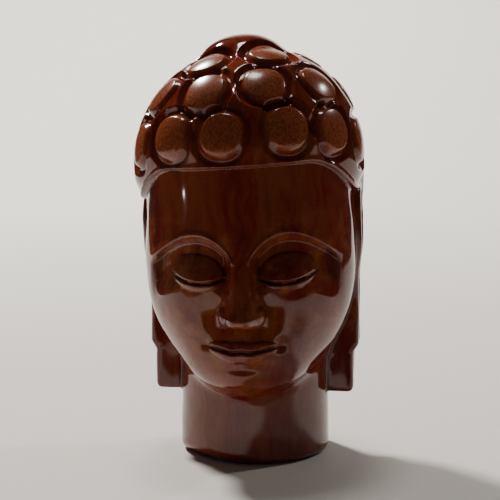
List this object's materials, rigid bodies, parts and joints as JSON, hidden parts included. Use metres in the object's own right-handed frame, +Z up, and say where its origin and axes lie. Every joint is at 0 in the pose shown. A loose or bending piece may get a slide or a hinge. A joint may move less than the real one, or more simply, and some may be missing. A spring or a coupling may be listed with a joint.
{
  "type": "carved stone buddha head",
  "caption": "Small polished red-brown stone head with closed eyes, oval hair curls and long ears, standing on its own flat-cut neck.",
  "frame": {"origin": "centre of the flat underside's box: the middle of the bounding box, at the bottom", "axes": "+Z up along the neck and the head, -Y the way the face looks, +X the side of the carving's own left ear"},
  "size_m": [0.044, 0.0512, 0.0811],
  "materials": {
    "red_jasper": "hand-carved hardstone, polished to a gloss"
  },
  "bodies": {
    "root": {"buddha_head": "red_jasper"}
  },
  "joints": []
}
